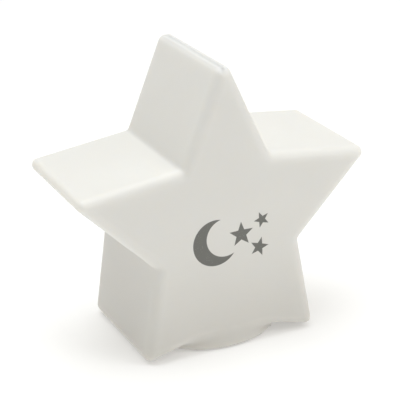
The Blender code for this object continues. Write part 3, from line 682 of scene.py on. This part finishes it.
def board_finish(context):
    """Green lacquer over copper tracks, with tinned rings round the holes."""
    finish = Finish("board_green")
    green = tuple(context.scene.star_light_base.board)
    place = finish.place()
    x, y, z = finish.parts(place)

    def centre(node):
        """The middle of a lead or wire where it goes through the board."""
        low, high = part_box(node)
        return (low.x + high.x) / 2, high.y - (high.x - low.x) / 2

    low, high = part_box("resistor")
    middle = (low.y + high.y) / 2
    ends = (low.x, middle), (high.x, middle)
    routes = (
        (centre("led_lead_1"), ends[0]),
        (ends[1], centre("wire_red")),
        (centre("led_lead_2"), centre("wire_black")),
    )
    tracks, pads = None, None
    for start, end in routes:
        corner = (end[0], start[1])
        for a, b in ((start, corner), (corner, end)):
            line = finish.track(x, y, a, b, 0.5 * MM)
            tracks = line if tracks is None else tracks.maths("MAXIMUM", line)
        for spot in (start, end):
            pad = finish.disc(x, y, spot, 1.1 * MM)
            pads = pad if pads is None else pads.maths("MAXIMUM", pad)
    weave = finish.noise(place, 0.4 * MM, 2.0)
    lacquer = finish.mix(tracks, green, tuple(min(1.0, c * 1.6 + 0.01) for c in green))
    finish.set(
        Base_Color=finish.mix(pads, lacquer, (0.62, 0.62, 0.58)),
        Metallic=pads,
        Roughness=0.3 + (weave - 0.5) * 0.12,
        Coat_Weight=0.5,
        Normal=finish.bump(tracks + weave * 0.2 + pads, 0.03 * MM, 0.6),
    )
    return finish.material


def laminate_finish():
    finish = Finish("laminate_brown")
    place = finish.place()
    fibre = finish.noise(place, 0.3 * MM, 4.0)
    finish.set(
        Base_Color=finish.mix(fibre, (0.20, 0.105, 0.045), (0.36, 0.21, 0.10)),
        Roughness=0.6 + (fibre - 0.5) * 0.2,
        Normal=finish.bump(fibre, 0.02 * MM, 0.5),
    )
    return finish.material


def lens_finish():
    finish = Finish("clear_epoxy")
    place = finish.place()
    swirl = finish.noise(place, 2 * MM, 2.0)
    finish.set(
        Base_Color=finish.mix(swirl, (0.95, 0.97, 0.98), (0.90, 0.94, 0.96)),
        Roughness=0.04 + swirl * 0.05,
        IOR=1.53,
        Transmission_Weight=0.9,
    )
    return finish.material


def resistor_finish():
    """Tan lacquer with four colour bands, and tinned leads."""
    finish = Finish("resistor_tan")
    place = finish.place()
    x, y, z = finish.parts(place)
    low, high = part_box("resistor")
    start = (low.x + high.x) / 2 - 2.6 * MM
    colour = finish.mix(finish.noise(place, 0.5 * MM), (0.50, 0.36, 0.19), (0.58, 0.43, 0.25))
    for offset, band in RESISTOR_BANDS:
        middle = start + offset * MM + BAND_HALF_WIDTH
        inside = finish.step(BAND_HALF_WIDTH - (x - middle).maths("ABSOLUTE"), 0.0, 0.03 * MM)
        colour = finish.mix(inside, colour, band)
    lead = finish.step((x - (low.x + high.x) / 2).maths("ABSOLUTE"), 3.02 * MM, 0.03 * MM)
    finish.set(
        Base_Color=finish.mix(lead, colour, (0.6, 0.6, 0.58)),
        Metallic=lead,
        Roughness=0.35,
        Normal=finish.bump(finish.noise(place, 0.4 * MM), 0.01 * MM, 0.4),
    )
    return finish.material


def insulation_finish(name, colour):
    finish = Finish(name)
    place = finish.place()
    drag = finish.noise(place, 0.6 * MM, 3.0)
    finish.set(
        Base_Color=finish.mix(drag, darker(colour, 0.85), colour),
        Roughness=0.33 + (drag - 0.5) * 0.15,
        Normal=finish.bump(drag, 0.015 * MM, 0.5),
    )
    return finish.material


# Carried CAD nodes


def refine(node, material):
    """Gives a CAD node its finish."""
    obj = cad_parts[node]
    obj.data.materials.clear()
    obj.data.materials.append(material)


class STARLIGHT_OT_star_shell(Operator):
    """Make the soft star shell with its printed front"""

    bl_idname = "star_light.star_shell"
    bl_label = "Star shell"

    def execute(self, context):
        skin, form = make_star_skin(context)
        skin.data.materials.clear()
        skin.data.materials.append(vinyl_finish(context, form))
        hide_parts("star_shell")
        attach(skin, BODY)
        return {"FINISHED"}


class STARLIGHT_OT_base(Operator):
    """Finish the base's housing, plate and battery door"""

    bl_idname = "star_light.base"
    bl_label = "Base mouldings"

    def execute(self, context):
        base = context.scene.star_light_base
        white = plastic_finish("white_plastic", base.plastic)
        refine("base_housing", white)
        refine("base_plate", plastic_finish("white_plastic_plate", base.plastic, relief=base_relief))
        refine("battery_door", white)
        ribs = make_grip_ribs()
        ribs.data.materials.append(white)
        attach(ribs, DOOR)
        return {"FINISHED"}


class STARLIGHT_OT_fasteners(Operator):
    """Finish the screws"""

    bl_idname = "star_light.fasteners"
    bl_label = "Screws"

    def execute(self, context):
        base = context.scene.star_light_base
        zinc = metal_finish("screw_steel", base.steel, 0.32)
        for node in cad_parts:
            if "screw" in node:
                refine(node, zinc)
        return {"FINISHED"}


class STARLIGHT_OT_switch(Operator):
    """Finish the slide switch"""

    bl_idname = "star_light.switch"
    bl_label = "Slide switch"

    def execute(self, context):
        base = context.scene.star_light_base
        refine("switch_case", metal_finish("switch_steel", base.steel, 0.28, (1.0, 8.0, 8.0)))
        refine("switch_knob", plastic_finish("black_plastic", base.knob, 0.38))
        refine("switch_insulator", laminate_finish())
        return {"FINISHED"}


class STARLIGHT_OT_power(Operator):
    """Finish the cells, contacts and wires"""

    bl_idname = "star_light.power"
    bl_label = "Cells and contacts"

    def execute(self, context):
        base = context.scene.star_light_base
        nickel = metal_finish("cell_steel", darker(base.steel, 1.12), 0.2)
        for i in range(1, 4):
            refine(f"button_cell_{i}", nickel)
        tin = metal_finish("tinned_metal", base.steel, 0.3, (8.0, 8.0, 1.0))
        for node in ("contact_positive", "contact_negative", "contact_spring", "led_lead_1", "led_lead_2"):
            refine(node, tin)
        for i in range(1, 4):
            refine(f"switch_terminal_{i}", tin)
        refine("wire_red", insulation_finish("red_insulation", (0.55, 0.02, 0.02)))
        refine("wire_black", insulation_finish("black_insulation", (0.015, 0.015, 0.015)))
        return {"FINISHED"}


class STARLIGHT_OT_board(Operator):
    """Finish the circuit board, LED and resistor"""

    bl_idname = "star_light.board"
    bl_label = "Circuit board"

    def execute(self, context):
        refine("circuit_board", board_finish(context))
        refine("led", lens_finish())
        refine("resistor", resistor_finish())
        return {"FINISHED"}


# Stage


def add_light(name, place, target, size, power, colour=(1.0, 1.0, 1.0)):
    light = bpy.data.lights.new(name, "AREA")
    light.shape = "DISK"
    light.size = size
    light.energy = power
    light.color = colour
    lamp = bpy.data.objects.new(name, light)
    bpy.context.scene.collection.objects.link(lamp)
    lamp.location = place
    lamp.rotation_mode = "QUATERNION"
    lamp.rotation_quaternion = (Vector(target) - Vector(place)).to_track_quat("-Z", "Y")
    return lamp


class STARLIGHT_OT_stage(Operator):
    """Make the pale floor, soft studio light and camera"""

    bl_idname = "star_light.stage"
    bl_label = "Stage"

    def execute(self, context):
        stage = context.scene.star_light_stage
        make_floor(stage)
        make_surround(context, stage)
        centre = Vector((0, 0, (SHELL_LOW.z + SHELL_HIGH.z) / 2))
        add_light("key", (-0.06, 0.1, 0.9), centre, 1.0, stage.key, (0.96, 0.99, 1.0))
        add_light("fill", (0.35, -0.38, 0.45), centre, 0.3, stage.fill)
        make_camera(context, stage)
        return {"FINISHED"}


def make_floor(stage):
    half, steps = 3.0, 8
    bm = bmesh.new()
    bmesh.ops.create_grid(bm, x_segments=steps, y_segments=steps, size=half)
    bmesh.ops.translate(bm, verts=bm.verts, vec=(0, 0, -stage.drop))
    floor = mesh_object("floor", bm)
    finish = Finish("pale_floor")
    place = finish.place()
    mottle = finish.noise(place, 60 * MM, 2.0)
    colour = tuple(stage.floor)
    finish.set(
        Base_Color=finish.mix(mottle, darker(colour, 0.99), colour),
        Roughness=0.9,
        Specular_IOR_Level=0.1,
        Emission_Color=(1.0, 0.996, 0.988, 1.0),
        Emission_Strength=0.25,
    )
    floor.data.materials.append(finish.material)


def make_surround(context, stage):
    world = bpy.data.worlds.new("surround")
    world.use_nodes = True
    background = world.node_tree.nodes["Background"]
    background.inputs["Color"].default_value = (1.0, 0.985, 0.955, 1.0)
    background.inputs["Strength"].default_value = stage.world
    context.scene.world = world
    context.scene.view_settings.view_transform = "Standard"


def make_camera(context, stage):
    camera = bpy.data.cameras.new("camera")
    camera.lens = stage.lens
    camera.sensor_width = 36.0
    camera.clip_start = 0.01
    camera.clip_end = 20.0
    camera.shift_x, camera.shift_y = stage.shift
    holder = bpy.data.objects.new("camera", camera)
    context.scene.collection.objects.link(holder)
    a, e = stage.azimuth, stage.elevation
    back = Vector((math.sin(a) * math.cos(e), -math.cos(a) * math.cos(e), math.sin(e)))
    star_centre = Vector((0, 0, context.scene.star_light_star.centre))
    holder.rotation_mode = "QUATERNION"
    turn = (-back).to_track_quat("-Z", "Y").to_matrix() @ Matrix.Rotation(stage.roll, 3, "Z")
    holder.location = star_centre + back * stage.distance
    holder.rotation_quaternion = turn.to_quaternion()
    context.scene.camera = holder


class STARLIGHT_PT_panel(Panel):
    """Lists the pieces in the 3D view's sidebar"""

    bl_idname = "STARLIGHT_PT_panel"
    bl_label = "Star night light"
    bl_space_type = "VIEW_3D"
    bl_region_type = "UI"
    bl_category = "Star Light"

    def draw(self, context):
        for group in PROPERTY_GROUPS:
            settings = getattr(context.scene, group)
            box = self.layout.box()
            for name in settings.__annotations__:
                box.prop(settings, name)
        for operator in OPERATORS:
            self.layout.operator(operator.bl_idname)


PROPERTY_GROUPS = {
    "star_light_star": StarSettings,
    "star_light_print": PrintSettings,
    "star_light_base": BaseSettings,
    "star_light_stage": StageSettings,
}
OPERATORS = (
    STARLIGHT_OT_star_shell,
    STARLIGHT_OT_base,
    STARLIGHT_OT_fasteners,
    STARLIGHT_OT_switch,
    STARLIGHT_OT_power,
    STARLIGHT_OT_board,
    STARLIGHT_OT_stage,
)
CLASSES = (*PROPERTY_GROUPS.values(), *OPERATORS, STARLIGHT_PT_panel)


def register():
    for cls in CLASSES:
        bpy.utils.register_class(cls)
    for name, group in PROPERTY_GROUPS.items():
        setattr(bpy.types.Scene, name, PointerProperty(type=group))


def unregister():
    for name in PROPERTY_GROUPS:
        delattr(bpy.types.Scene, name)
    for cls in reversed(CLASSES):
        bpy.utils.unregister_class(cls)


def main():
    register()
    bpy.ops.star_light.star_shell()
    bpy.ops.star_light.base()
    bpy.ops.star_light.fasteners()
    bpy.ops.star_light.switch()
    bpy.ops.star_light.power()
    bpy.ops.star_light.board()
    bpy.ops.star_light.stage()


if __name__ == "__main__":
    main()
